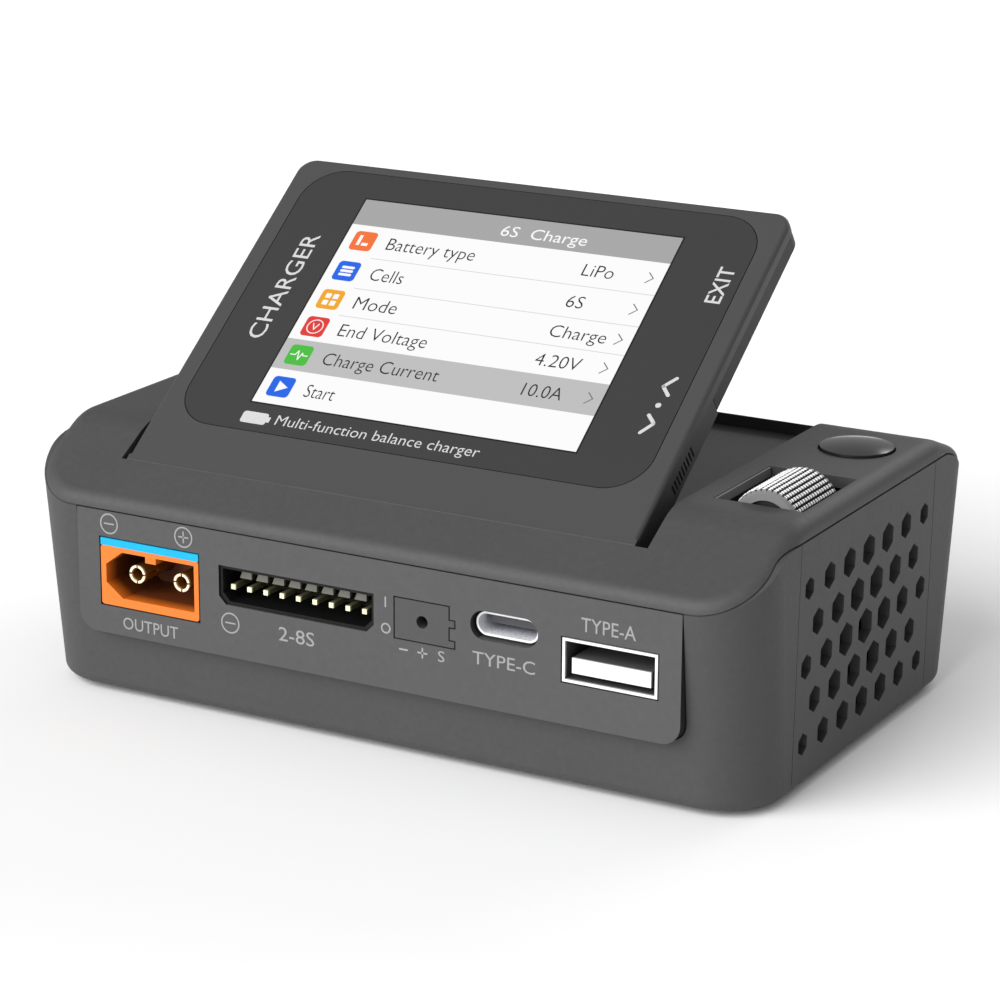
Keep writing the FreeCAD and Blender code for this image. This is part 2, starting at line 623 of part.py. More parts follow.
usb_a_outline = rectangle("usb_a_left", "usb_a_bottom", "usb_a_width", "usb_a_height")
usb_a_inner = rectangle("usb_a_left + usb_a_wall", "usb_a_bottom + usb_a_wall",
                        "usb_a_width - 2 * usb_a_wall", "usb_a_height - 2 * usb_a_wall")
usb_a_shell = new_body("usb_a_shell", "0", "-case_depth / 2 + panel_thick", "0", FRONT)
pad(usb_a_shell, usb_a_outline, "panel_thick - usb_a_depth", "usb_a_depth")
pocket(usb_a_shell, "panel_thick", "usb_a_depth", usb_a_inner)
keep("usb_a_shell", usb_a_shell)
usb_a_tongue = new_body("usb_a_tongue", "0", "-case_depth / 2 + panel_thick", "0", FRONT)
pad(usb_a_tongue, usb_a_inner, "panel_thick - usb_a_depth", "2.5")
pad(usb_a_tongue, rectangle("usb_a_left + 1.1", "usb_a_bottom + usb_a_tongue_rise", "usb_a_width - 2.2",
                            "usb_a_tongue"), "panel_thick - usb_a_depth", "usb_a_depth - 0.5")
keep("usb_a_tongue", usb_a_tongue)

port_top = "usb_c_bottom - 0.05"
keep("port_board", block("port_board", "usb_c_left - 0.8", "-case_depth / 2 + panel_thick + 0.2",
                         port_top + " - 1", "usb_c_width + 1.6", "8", "1"))
keep("port_header", block("port_header", "usb_c_left + 0.4", "-27.4", "main_board + board_thick",
                          "usb_c_width - 0.8", "2.4", port_top + " - 1 - main_board - board_thick"))


# ---------------------------------------------------------------- lid
def on_outline(edge):
    """An edge of the lid's top that runs along its plan outline."""
    start, end = edge.ParameterRange
    spot = edge.valueAt((start + end) / 2)
    half_width, half_depth = size("case_width / 2"), size("case_depth / 2")
    radius = size("corner_radius")
    beyond_x, beyond_y = abs(spot.x) - half_width + radius, abs(spot.y) - half_depth + radius
    away = max(beyond_x, 0) ** 2 + max(beyond_y, 0) ** 2
    rim = abs(away ** 0.5 - radius) < 0.05
    return rim and not upright(edge) and spot.z > size("front_lip - 3")


lid_block = overlap("lid_block", plan_block("lid_plan", "0"), below_lid("lid_profile", "0"))
lid_outer = round_edges("lid_outer", lid_block, (on_outline, "lid_round"))
lid_inner = overlap("lid_inner", plan_block("lid_inner_plan", "lid_wall"),
                    below_lid("lid_inner_profile", "lid_wall"))
lid_walls = cut("lid_walls", lid_outer, lid_inner, below_seam("lid_seam", "seam_gap"))

recess_span = ("-recess_left", "recess_right")
tray_span = ("-recess_left - lid_wall", "recess_right + lid_wall")
recess_width = "recess_left + recess_right"
tray_width = recess_width + " + 2 * lid_wall"
trough_lining = overlap(
    "trough_lining",
    rod("trough_round", tray_span[0], "hinge_y", "hinge_z", "trough_radius + trough_wall", tray_width, RIGHT),
    box_between("trough_region", ("-case_width", "case_width"), ("-case_depth", "case_depth"),
                ("trough_floor - trough_wall", "lid_top")))
deck_lining = box_between("deck_lining", tray_span, ("hinge_y", "recess_rear + lid_wall"),
                          ("deck_level - lid_wall", "lid_top"))
tray = overlap("tray", lid_outer, unite("tray_lining", trough_lining, deck_lining))
columns = [rod("column_%d" % i, x, y, "column_joint", "column_radius", "lid_top - 1 - column_joint")
           for i, (x, y) in enumerate(screw_spots)]
lid_solid = unite("lid_solid", lid_walls, tray, *columns)

trough_space = overlap(
    "trough_space",
    rod("trough_cut", recess_span[0], "hinge_y", "hinge_z", "trough_radius", recess_width, RIGHT),
    box_between("trough_cut_region", ("-case_width", "case_width"), ("-case_depth", "case_depth"),
                ("trough_floor", "lid_top + 10")))
deck_space = new_body("deck_space")
pad(deck_space, rectangle("-recess_left", "hinge_y", recess_width, "recess_rear - hinge_y"),
    "deck_level", "12")
round_off(deck_space, near(("-recess_left", "recess_rear"), ("recess_right", "recess_rear")), "recess_corner")
window = box_between("window", ("window_left", "window_right"), ("window_front", "window_rear"),
                     ("lid_top - 4", "lid_top + 4"))
button_hole = rod("button_hole", "button_x", "button_y", "lid_top - 4", "button_radius + button_gap", "8")
column_bores = [rod("column_bore_%d" % i, x, y, "column_joint - 1", "screw_radius + 0.03", "8")
                for i, (x, y) in enumerate(screw_spots)]
keep("top_cover", cut("top_cover", lid_solid, trough_space, deck_space, window, button_hole, *column_bores))


# ---------------------------------------------------------------- hinge
def hinge_brackets():
    """A bracket of two cheeks and a foot on each side of the screen."""
    brackets = []
    half = "(knuckle_width / 2 + hinge_side_gap)"
    for side, centre in (("left", "hinge_left"), ("right", "hinge_right")):
        shapes = [box_between("bracket_foot_" + side, (centre + " - %s - cheek" % half,
                                                       centre + " + %s + cheek" % half),
                              ("hinge_y - cheek_radius", "hinge_y + cheek_radius"),
                              ("trough_floor", "trough_floor + 0.8"))]
        for sign, start in (("a", "%s - %s - cheek" % (centre, half)), ("b", "%s + %s" % (centre, half))):
            shapes.append(block("cheek_%s_%s" % (side, sign), start, "hinge_y - cheek_radius", "trough_floor",
                                "cheek", "2 * cheek_radius", "hinge_z - trough_floor"))
            shapes.append(rod("eye_%s_%s" % (side, sign), start, "hinge_y", "hinge_z", "cheek_radius",
                              "cheek", RIGHT))
        hole = rod("pin_hole_" + side, centre + " - 10", "hinge_y", "hinge_z", "pin_radius", "20", RIGHT)
        brackets.append(cut("bracket_" + side, unite("bracket_body_" + side, *shapes), hole))
    return group("hinge_brackets", *brackets)


keep("hinge_brackets", hinge_brackets())
pin_length = "knuckle_width + 2 * hinge_side_gap + 2 * cheek"
keep("hinge_pins", group("hinge_pins", *[
    rod("hinge_pin_" + side, "%s - (%s) / 2" % (centre, pin_length), "hinge_y", "hinge_z", "pin_radius",
        pin_length, RIGHT)
    for side, centre in (("left", "hinge_left"), ("right", "hinge_right"))]))

# ---------------------------------------------------------------- screen, in its flat pose
screen_wide = "screen_left + screen_right"
screen_rear = "screen_front + screen_length"
rear_corners = [("-screen_left", screen_rear), ("screen_right", screen_rear)]
bezel_floor = "screen_face - bezel_depth"
glass_floor = "screen_face - glass_thick"


def glass_outline(spare):
    return rectangle("-glass_left - " + spare, "glass_front - " + spare,
                     "glass_left + glass_right + 2 * " + spare, "glass_rear - glass_front + 2 * " + spare)


lcd_opening = rectangle("-lcd_left - lcd_border - gap", "lcd_front - lcd_border - gap",
                        "lcd_width + 2 * lcd_border + 2 * gap", "lcd_length + 2 * lcd_border + 2 * gap")


def rim_but_front(edge):
    """The bezel's outer rim, all but its front edge, where the skirt starts."""
    spot = edge.CenterOfMass
    beside = spot.x < size("2 - screen_left") or spot.x > size("screen_right - 2")
    behind = spot.y > size("glass_rear") + 0.2
    return at_level("screen_face")(edge) and (beside or behind)


bezel_body = new_body("bezel_body")
pad(bezel_body, rectangle("-screen_left", "screen_front", screen_wide, "screen_length"), bezel_floor,
    "bezel_depth")
round_off(bezel_body, near(*rear_corners), "screen_corner")
pocket(bezel_body, "screen_face", "glass_thick", glass_outline("gap"))
round_off(bezel_body, near(*glass_outline("gap")), "glass_corner")
round_off(bezel_body, rim_but_front, "bezel_round")
pocket(bezel_body, glass_floor, "bezel_depth", lcd_opening)
skirt_ring = cut("skirt_ring",
                 rod("skirt_outside", "-screen_left", "0", "0", "skirt_radius", screen_wide, RIGHT),
                 rod("skirt_inside", "-screen_left - 1", "0", "0", "skirt_radius - skirt_wall",
                     screen_wide + " + 2", RIGHT))
skirt = overlap("skirt", skirt_ring, box_between("skirt_region", ("-screen_left", "screen_right"),
                                                 ("-skirt_radius - 1", "screen_front + 0.8"),
                                                 ("1.62", "screen_face")))
screen_holes = [("-screen_left + 3", "8"), ("screen_right - 3", "8"),
                ("-screen_left + 3", "screen_front + screen_length - 6"),
                ("screen_right - 3", "screen_front + screen_length - 6")]
bezel_bores = [rod("bezel_bore_%d" % i, x, y, "3", "1.05", "2.45") for i, (x, y) in enumerate(screen_holes)]
keep_on_screen("screen_bezel", cut("screen_bezel", unite("bezel_and_skirt", bezel_body, skirt), *bezel_bores))

glass = new_body("screen_glass")
pad(glass, glass_outline("0"), glass_floor, "glass_thick")
round_off(glass, upright, "glass_corner - gap")
keep_on_screen("screen_glass", glass)
keep_on_screen("lcd_module", slab("lcd_module", "-lcd_left - lcd_border", "lcd_front - lcd_border",
                                  "lcd_width + 2 * lcd_border", "lcd_length + 2 * lcd_border",
                                  "4.1", glass_floor + " - 4.15"))
keep_on_screen("display_board", slab("display_board", "-screen_left + 6", "1", screen_wide + " - 12.5", "46",
                                     "3.05", "0.8"))


def rear_half(name, front, rear):
    """Half of the screen's back: a shallow tray open towards the other half."""
    body = new_body(name)
    pad(body, rectangle("-screen_left + cover_inset", front, screen_wide + " - 2 * cover_inset",
                        "%s - (%s)" % (rear, front)), "screen_back_face",
                        bezel_floor + " - screen_back_face - 0.03")
    return body


def hollow(body, front, rear):
    pocket(body, bezel_floor, bezel_floor + " - screen_back_face - 0.9",
           rectangle("-screen_left + 5.4", front, screen_wide + " - 11", "%s - (%s)" % (rear, front)))


def screw_seats(body, spots):
    for x, y in spots:
        pocket(body, bezel_floor, "3", (), [(x, y, "1.05")])
        pocket(body, "screen_back_face + 0.9", "1", (), [(x, y, "1.8")])


split = "screen_front + block_length"
back_rear = screen_rear + " - cover_inset"
screen_back = rear_half("screen_back", split + " + 0.1", back_rear)
round_off(screen_back, near(("-screen_left + cover_inset", back_rear), ("screen_right - cover_inset",
        back_rear)),
          "screen_corner - cover_inset")
round_off(screen_back, at_level("screen_back_face"), "0.6", "Chamfer")
hollow(screen_back, split, back_rear + " - 1.4")
screw_seats(screen_back, screen_holes[2:])
keep_on_screen("screen_back", screen_back)

block_body = rear_half("block_body", "-3", split)
hollow(block_body, "-1.8", split + " + 1")
screw_seats(block_body, screen_holes[:2])
knuckles, knuckle_bores = [], []
for side, centre in (("left", "hinge_left"), ("right", "hinge_right")):
    start = centre + " - knuckle_width / 2"
    knuckles.append(rod("knuckle_" + side, start, "0", "0", "knuckle_radius", "knuckle_width", RIGHT))
    knuckles.append(block("knuckle_web_" + side, start, "-knuckle_radius", "0", "knuckle_width",
                          "2 * knuckle_radius", "screen_back_face + 0.4"))
    knuckle_bores.append(rod("knuckle_bore_" + side, start + " - 1", "0", "0", "pin_radius + play",
                             "knuckle_width + 2", RIGHT))
grooves = []
for rib in range(9):
    y, z = "6.6 + %d * 0.78" % rib, "2.7"
    grooves.append(block("groove_right_%d" % rib, "screen_right - cover_inset - 0.35", y, z, "1", "0.4",
                         "1.9"))
    grooves.append(block("groove_left_%d" % rib, "-screen_left + cover_inset - 0.65", y, z, "1", "0.4",
                         "1.9"))
keep_on_screen("hinge_block", cut("hinge_block", unite("block_with_knuckles", block_body, *knuckles),
                                  *knuckle_bores, *grooves))
screws = []
for i, (x, y) in enumerate(screen_holes):
    shaft = rod("screen_shaft_%d" % i, x, y, "2.6", "1", "2.75")
    head = rod("screen_head_%d" % i, x, y, "2.1", "1.7", "0.75")
    screws.append(unite("screen_screw_%d" % i, shaft, head))
keep_on_screen("screen_screws", group("screen_screws", *screws))

# ---------------------------------------------------------------- roller
roller_body = rod("roller_body", "roller_x", "roller_front", "roller_z", "roller_radius", "roller_length",
                  REAR)
roller_dish = cut("roller_dish",
                  rod("dish_outside", "roller_x", "roller_front - 1", "roller_z", "roller_radius - 1.2",
                      "1.5", REAR),
                  rod("dish_inside", "roller_x", "roller_front - 2", "roller_z", "2", "4", REAR))
roller_bore = rod("roller_bore", "roller_x", "roller_front - 2", "roller_z", "axle_radius",
                  "roller_length + 4", REAR)
keep("roller", cut("roller", roller_body, roller_dish, roller_bore))
keep("roller_axle", rod("roller_axle", "roller_x", "roller_front - 1.6", "roller_z", "axle_radius",
                        "roller_length + 5", REAR))
cradle_parts = [
    box_between("cradle_base", ("roller_x - 4", "roller_x + 4"), ("roller_front - 1.5",
            "roller_front + roller_length + 1.6"),
                ("26.6", "27.6")),
    rod("cradle_stem", "roller_x", "roller_front + roller_length / 2", "24.9", "switch_stem", "2"),
]
for name, front in (("front", "roller_front - 1.5"), ("rear", "roller_front + roller_length + 0.5")):
    cradle_parts.append(box_between("cradle_cheek_" + name, ("roller_x - 1.2", "roller_x + 1.2"),
                                    (front, front + " + 1.1"), ("27", "roller_z")))
    cradle_parts.append(rod("cradle_eye_" + name, "roller_x", front, "roller_z", "1.2", "1.1", REAR))
cradle_bore = rod("cradle_bore", "roller_x", "roller_front - 4", "roller_z", "axle_radius + play", "20", REAR)
keep("roller_cradle", cut("roller_cradle", unite("cradle_body", *cradle_parts), cradle_bore))
encoder_box = box_between("encoder_box", ("roller_x - 3.2", "roller_x + 3.2"),
                          ("roller_front + roller_length + 1.6", "roller_front + roller_length + 3.6"),
                          ("28.6", "34.2"))
encoder_bore = rod("encoder_bore", "roller_x", "-10", "roller_z", "axle_radius + play", "12", REAR)
keep("roller_encoder", cut("roller_encoder", encoder_box, encoder_bore))

# ---------------------------------------------------------------- exit button and switches
button_top = "lid_top + button_proud + button_dome"
dome = doc.addObject("Part::Sphere", "button_dome_ball")
tie(dome, Radius="24")
place(dome, "button_x", "button_y", button_top + " - 24")
button_cap = overlap("button_cap", dome, rod("button_rod", "button_x", "button_y", "34", "button_radius",
                                             "4"))
button_flange = rod("button_flange", "button_x", "button_y", "33.5", "button_radius + 0.8", "0.9")
button_stem = rod("button_stem", "button_x", "button_y", "26.9", "switch_stem", "7")
keep("exit_button", unite("exit_button", button_cap, button_flange, button_stem))


def switch(label, x, y, top, floor):
    """A square push switch with a bore for the stem that works it."""
    case = box_between(label + "_case", (x + " - switch_size / 2", x + " + switch_size / 2"),
                       (y + " - switch_size / 2", y + " + switch_size / 2"), ("control_board + board_thick",
                               top))
    well = rod(label + "_well", x, y, floor, "switch_stem + 0.1", "10")
    keep(label, cut(label, case, well))


switch("roller_switch", "roller_x", "(roller_front + roller_length / 2)", "26", "24.3")
switch("exit_switch", "button_x", "button_y", "28", "26.1")
keep("control_board", block("control_board", "39.3", "-17", "control_board", "12", "35", "board_thick"))

# ---------------------------------------------------------------- main board
board_top = "(main_board + board_thick)"
board = block("board_sheet", "main_left", "main_front", "main_board", "main_right - main_left",
              "main_rear - main_front", "board_thick")
board_holes = [rod("sheet_hole_%d" % i, x, y, "main_board - 1", "1.1", "5") for i, (x,
        y) in enumerate(board_spots)]
keep("main_board", cut("main_board", board, *board_holes))
keep("board_screws", group("board_screws", *[
    unite("board_screw_%d" % i, rod("board_shaft_%d" % i, x, y, "5.5", "1", "8 - 1.5"),
          rod("board_head_%d" % i, x, y, board_top, "1.9", "1.2"))
    for i, (x, y) in enumerate(board_spots)]))

power_x = [-28, -18, -8, 2]
keep("power_transistors", group("power_transistors", *[
    block("transistor_%d" % i, "%d" % x, "-4", board_top, "8", "10", "1.5") for i, x in enumerate(power_x)]))
sink_floor = board_top + " + 1.5"
fins = [block("fin_%d" % fin, "-32 + %d * 5" % fin, "-9", sink_floor + " + 1", "1.3", "24",
              "12") for fin in range(9)]
sink_base = block("sink_base", "-32", "-9", sink_floor, "41.3", "24", "2")
keep("heat_sink", unite("heat_sink", sink_base, *fins))
keep("capacitors", group("capacitors", *[
    rod("capacitor_%d" % i, "%d" % x, "22", board_top, "4", "13") for i, x in enumerate((-16, -6, 4, 14))]))


def inductor(name, x, y):
    ring = doc.addObject("Part::Torus", name)
    tie(ring, Radius1="5.2", Radius2="2.4")
    return place(ring, x, y, board_top + " + 2.45")


keep("inductors", group("inductors", inductor("inductor_1", "20", "6"), inductor("inductor_2", "20",
        "-10.5")))

# ---------------------------------------------------------------- cooling fan
fan_left = "fan_x - fan_depth / 2"
fan_block = box_between("fan_block", (fan_left, "fan_x + fan_depth / 2"),
                        ("fan_y - fan_size / 2", "fan_y + fan_size / 2"),
                        ("fan_z - fan_size / 2", "fan_z + fan_size / 2"))
fan_duct = rod("fan_duct", fan_left + " - 1", "fan_y", "fan_z", "fan_bore", "fan_depth + 2", RIGHT)
fan_corners = [("fan_y%s10.3" % a, "fan_z%s10.3" % b) for a in ("-", "+") for b in ("-", "+")]
fan_holes = [rod("fan_hole_%d" % i, fan_left + " - 1", y, z, "1.35", "fan_depth + 2", RIGHT)
             for i, (y, z) in enumerate(fan_corners)]
fan_frame_parts = [cut("fan_ring", fan_block, fan_duct, *fan_holes),
                   rod("fan_seat", fan_left, "fan_y", "fan_z", "fan_hub", "1", RIGHT),
                   rod("fan_post", fan_left, "fan_y", "fan_z", "fan_pin", "6.5", RIGHT),
                   box_between("fan_strut_across", (fan_left, fan_left + " + 1"),
                               ("fan_y - fan_bore - 0.3", "fan_y + fan_bore + 0.3"), ("fan_z - 0.7",
                                       "fan_z + 0.7")),
                   box_between("fan_strut_up", (fan_left, fan_left + " + 1"), ("fan_y - 0.7", "fan_y + 0.7"),
                               ("fan_z - fan_bore - 0.3", "fan_z + fan_bore + 0.3"))]
keep("fan_frame", unite("fan_frame", *fan_frame_parts))


def fan_blade(number):
    """One blade, tilted about its own length and set round the hub."""
    blade = doc.addObject("Part::Box", "fan_blade_%d" % number)
    tie(blade, Length="5.4", Width="0.9", Height="fan_tip - fan_hub + 0.5")
    pitch = FreeCAD.Rotation(FreeCAD.Vector(0, 0, 1), 35)
    around = FreeCAD.Rotation(FreeCAD.Vector(1, 0, 0), 360 * number / size("fan_blades"))
    turn = around.multiply(pitch)
    start = turn.multVec(FreeCAD.Vector(-2.7, -0.45, size("fan_hub - 0.5")))
    middle = FreeCAD.Vector(size("fan_x + 0.2"), size("fan_y"), size("fan_z"))
    blade.Placement = FreeCAD.Placement(middle + start, turn)
    return blade


fan_cup = cut("fan_cup", rod("fan_hub_solid", fan_left + " + 1.4", "fan_y", "fan_z", "fan_hub", "7.2", RIGHT),
              rod("fan_hub_bore", fan_left + " + 1", "fan_y", "fan_z", "fan_pin + play", "6", RIGHT))
keep("fan_rotor", unite("fan_rotor", fan_cup, *[fan_blade(n) for n in range(int(size("fan_blades")))]))
grille_inside = "-case_width / 2 + grille_thick + 0.05"
fan_end = "fan_x + fan_depth / 2"
keep("fan_screws", group("fan_screws", *[
    unite("fan_screw_%d" % i, rod("fan_shaft_%d" % i, grille_inside, y, z, "1.25", "%s - (%s)" % (fan_end,
            grille_inside), RIGHT),
          rod("fan_head_%d" % i, fan_end, y, z, "2", "1", RIGHT))
    for i, (y, z) in enumerate(fan_corners)]))

# ---------------------------------------------------------------- case screws and feet
keep("case_screws", group("case_screws", *[
    unite("case_screw_%d" % i, rod("case_shaft_%d" % i, x, y, "2", "screw_radius", "16"),
          rod("case_head_%d" % i, x, y, "case_bottom + 0.3", "screw_head", "1.4"))
    for i, (x, y) in enumerate(screw_spots)]))


def foot(number, x, y):
    """A soft strip with ribs across its underside."""
    strip = box_between("foot_strip_%d" % number, (x + " - foot_length / 2", x + " + foot_length / 2"),
                        (y + " - foot_width / 2", y + " + foot_width / 2"), ("0", "case_bottom + foot_bite"))
    ribs = int(size("foot_ribs"))
    slots = [block("foot_slot_%d_%d" % (number, rib), "%s - foot_length / 2 + %d * foot_length / %d" % (x,
            rib, ribs + 1),
                   y + " - foot_width", "-1", "0.8", "2 * foot_width", "1.5") for rib in range(1, ribs + 1)]
    return cut("foot_%d" % number, strip, *slots)


keep("feet", group("feet", *[foot(i, x, y) for i, (x, y) in enumerate(foot_spots)]))

# ---------------------------------------------------------------- check and write
doc.recompute()
for item in doc.Objects:
    states = [str(state) for state in item.State]
    assert "Invalid" not in states and "Error" not in states, (item.Name, states)
for label, thing in subparts.items():
    shape = thing.Shape
    assert not shape.isNull() and shape.isValid() and shape.Volume > 0, label
    print("%-18s solids %2d volume %9.1f" % (label, len(shape.Solids), shape.Volume))

os.makedirs("parts", exist_ok=True)
for label, thing in subparts.items():
    thing.Shape.exportStep("parts/%s.step" % label)
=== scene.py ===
import math

import bmesh
import bpy
from mathutils import Matrix, Vector
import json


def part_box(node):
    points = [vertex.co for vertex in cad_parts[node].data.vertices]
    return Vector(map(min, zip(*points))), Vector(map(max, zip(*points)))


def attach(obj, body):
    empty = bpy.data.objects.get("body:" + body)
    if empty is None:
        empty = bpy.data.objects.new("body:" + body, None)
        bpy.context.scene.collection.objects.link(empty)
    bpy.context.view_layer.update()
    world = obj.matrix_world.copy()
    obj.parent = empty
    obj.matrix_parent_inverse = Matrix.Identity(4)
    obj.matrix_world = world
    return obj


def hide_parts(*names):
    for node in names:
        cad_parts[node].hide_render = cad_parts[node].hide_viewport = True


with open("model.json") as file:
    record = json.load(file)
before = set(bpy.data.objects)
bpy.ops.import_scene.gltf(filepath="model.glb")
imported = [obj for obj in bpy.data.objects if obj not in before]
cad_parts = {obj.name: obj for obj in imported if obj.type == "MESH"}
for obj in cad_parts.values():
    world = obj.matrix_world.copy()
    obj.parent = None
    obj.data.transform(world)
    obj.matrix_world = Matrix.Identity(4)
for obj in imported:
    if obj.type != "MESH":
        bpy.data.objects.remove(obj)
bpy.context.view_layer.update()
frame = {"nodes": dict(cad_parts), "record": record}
nodes = frame["nodes"]
MM = 0.001
rad = math.radians

# The screen's window is drawn flat, in millimetres from its hinge axis, and set down tilted.
HINGE = Vector((0, -21.15, 29.4))
TILT = rad(36.84)
WINDOW_LEVEL = Matrix.Translation((0, 0, 6.6))
ON_SCREEN = Matrix.Translation(HINGE) @ Matrix.Rotation(TILT, 4, "X") @ WINDOW_LEVEL

# The panel is drawn flat as seen from the front, with its outer face at zero.
PANEL_FACE = -35.45
ON_PANEL = Matrix.Translation((0, PANEL_FACE, 0)) @ Matrix.Rotation(rad(90), 4, "X")

# Print stands a little proud of the surface it is on, and starts just under it.
INK_LOW, INK_HIGH = -0.01, 0.015

# The roller as it stands in the case.
roller_low, roller_high = (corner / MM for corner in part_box("roller"))
ROLLER_X = (roller_low.x + roller_high.x) / 2
ROLLER_Z = (roller_low.z + roller_high.z) / 2
ROLLER_START = roller_low.y
ROLLER_LENGTH = roller_high.y - roller_low.y
ROLLER_RADIUS = 5.0


# ---------------------------------------------------------------- materials
class Wire:
    """A socket of a material. Arithmetic on it adds Math nodes."""

    def __init__(self, tree, socket):
        self.tree, self.socket = tree, socket

    def math(self, operation, *others, clamp=False):
        node = self.tree.nodes.new("ShaderNodeMath")
        node.operation, node.use_clamp = operation, clamp
        feed(self.tree, node.inputs, (self,) + others)
        return Wire(self.tree, node.outputs[0])

    def __add__(self, other):
        return self.math("ADD", other)

    def __sub__(self, other):
        return self.math("SUBTRACT", other)

    def __mul__(self, other):
        return self.math("MULTIPLY", other)

    def __truediv__(self, other):
        return self.math("DIVIDE", other)

    def __rsub__(self, other):
        return (self * -1) + other

    __radd__, __rmul__ = __add__, __mul__

    def above(self, level):
        return self.math("GREATER_THAN", level)

    def wave(self, pitch):
        """0 to 1 and back once in every pitch."""
        return (self * (2 * math.pi / pitch)).math("SINE") * 0.5 + 0.5


def feed(tree, inputs, values):
    for slot, value in zip(inputs, values):
        if isinstance(value, Wire):
            tree.links.new(value.socket, slot)
        else:
            slot.default_value = value


class Finish:
    """A material under construction around one Principled shader."""

    def __init__(self, name, **shader):
        self.material = bpy.data.materials.new(name)
        self.material.use_nodes = True
        self.tree = self.material.node_tree
        self.shader = self.tree.nodes["Principled BSDF"]
        self.place = self.node("ShaderNodeTexCoord", out="Object")
        self.set(**shader)

    def node(self, kind, out=0, settings=(), **sockets):
        node = self.tree.nodes.new(kind)
        for name, value in dict(settings).items():
            setattr(node, name, value)
        feed(self.tree, [node.inputs[name.replace("_", " ")] for name in sockets], sockets.values())
        return Wire(self.tree, node.outputs[out])

    def set(self, **shader):
        feed(self.tree, [self.shader.inputs[name.replace("_", " ")] for name in shader], shader.values())
        return self

    def noise(self, scale, detail=3.0, place=None):
        return self.node("ShaderNodeTexNoise", Vector=place or self.place, Scale=scale, Detail=detail)

    def axis(self, name, place=None):
        return self.node("ShaderNodeSeparateXYZ", out=name, Vector=place or self.place)

    def blend(self, amount, first, second):
        """Between two colours by an amount."""
        node = self.tree.nodes.new("ShaderNodeMix")
        node.data_type = "RGBA"
        node.clamp_factor = True
        feed(self.tree, [node.inputs[0], node.inputs[6], node.inputs[7]], [amount, first, second])
        return Wire(self.tree, node.outputs[2])

    def bump(self, height, strength, distance):
        normal = self.node("ShaderNodeBump", Height=height, Strength=strength, Distance=distance)
        self.tree.links.new(normal.socket, self.shader.inputs["Normal"])
        return self


def tone(r, g, b):
    """A linear colour from 0-255 display values."""
    def linear(c):
        c = c / 255
        return c / 12.92 if c <= 0.04045 else ((c + 0.055) / 1.055) ** 2.4
    return (linear(r), linear(g), linear(b), 1)


def lit(colour, factor):
    return tuple(c * factor for c in colour[:3]) + (1,)


def moulded(name, colour, roughness=0.55, grain=4200, depth=0.00002, variation=0.10, specular=0.5, shade_side=None):
    """Moulded plastic with spark-eroded grain, faint mottling and uneven sheen.

    shade_side, where given, is painted shade: the tint of the faces that look along +X, which lie in shade.
    """
    f = Finish(name, Specular_IOR_Level=specular)
    fine = f.noise(grain, 4)
    broad = f.noise(60, 3)
    speckle = f.noise(grain * 0.45, 2)
    amount = speckle * 0.7 + broad * 0.3
    cover = f.blend(amount, lit(colour, 1 - variation), lit(colour, 1 + variation))
    # Faces that look along +X take the shade_side tint, a painted shade.
    if shade_side:
        cover = f.blend(f.axis("X", f.node("ShaderNodeTexCoord", out="Normal")).above(0.4), cover, shade_side)
    f.set(Base_Color=cover,
          Roughness=(fine * 0.16 + broad * 0.08 + (roughness - 0.12)))
    return f.bump(fine, 0.5, depth).material


def metal(name, colour, roughness, brush=(1, 1, 1), scale=900, depth=0.000004):
    """Metal with drawn or rolled marks, stretched along the axis whose factor is small."""
    f = Finish(name, Metallic=1.0)
    place = f.node("ShaderNodeMapping", Vector=f.place, Scale=brush)
    marks = f.noise(scale, 5, place)
    stains = f.noise(140, 3)
    f.set(Base_Color=f.blend(stains * 0.5 + marks * 0.5, lit(colour, 0.86), lit(colour, 1.08)),
          Roughness=marks * 0.18 + (roughness - 0.09))
    return f.bump(marks, 0.4, depth).material


def circuit(name):
    """Solder-masked board: copper tracks in two directions show as lighter, raised lines."""
    f = Finish(name, Roughness=0.35, Coat_Weight=0.4)
    x, y = f.axis("X"), f.axis("Y")
    patch = f.noise(180, 0).above(0.5)
    tracks = x.wave(0.0016).above(0.72) * patch + y.wave(0.0018).above(0.74) * (1 - patch)
    f.set(Base_Color=f.blend(tracks, (0.006, 0.055, 0.022, 1), (0.012, 0.12, 0.05, 1)))
    return f.bump(tracks, 0.5, 0.00003).material


def ribbed_rubber(name):
    f = Finish(name, Specular_IOR_Level=0.3)
    fine, dust = f.noise(2600, 4), f.noise(320, 4)
    f.set(Base_Color=f.blend(dust, (0.010, 0.010, 0.010, 1), (0.028, 0.027, 0.026, 1)),
          Roughness=fine * 0.15 + 0.72)
    return f.bump(fine, 0.6, 0.00004).material


def printed(name, colour, roughness=0.5):
    """Pad-printed ink: slightly uneven cover and sheen."""
    f = Finish(name)
    cover = f.noise(2400, 3)
    f.set(Base_Color=f.blend(cover, lit(colour, 0.88), lit(colour, 1.04)),
          Roughness=cover * 0.2 + (roughness - 0.1))
    return f.bump(cover, 0.3, 0.000006).material


def glowing(name, colour):
    """A lit patch of the display, with its fine rows and columns."""
    f = Finish(name, Roughness=0.3, Specular_IOR_Level=0.2, Base_Color=(0.0, 0.0, 0.0, 1))
    place = f.node("ShaderNodeMapping", Vector=f.place, Rotation=(-TILT, 0, 0))
    grid = f.axis("X", place).wave(0.00015) * f.axis("Y", place).wave(0.00015)
    f.set(Emission_Color=f.blend(grid, lit(colour, 0.97), lit(colour, 1.03)), Emission_Strength=1.0)
    return f.material


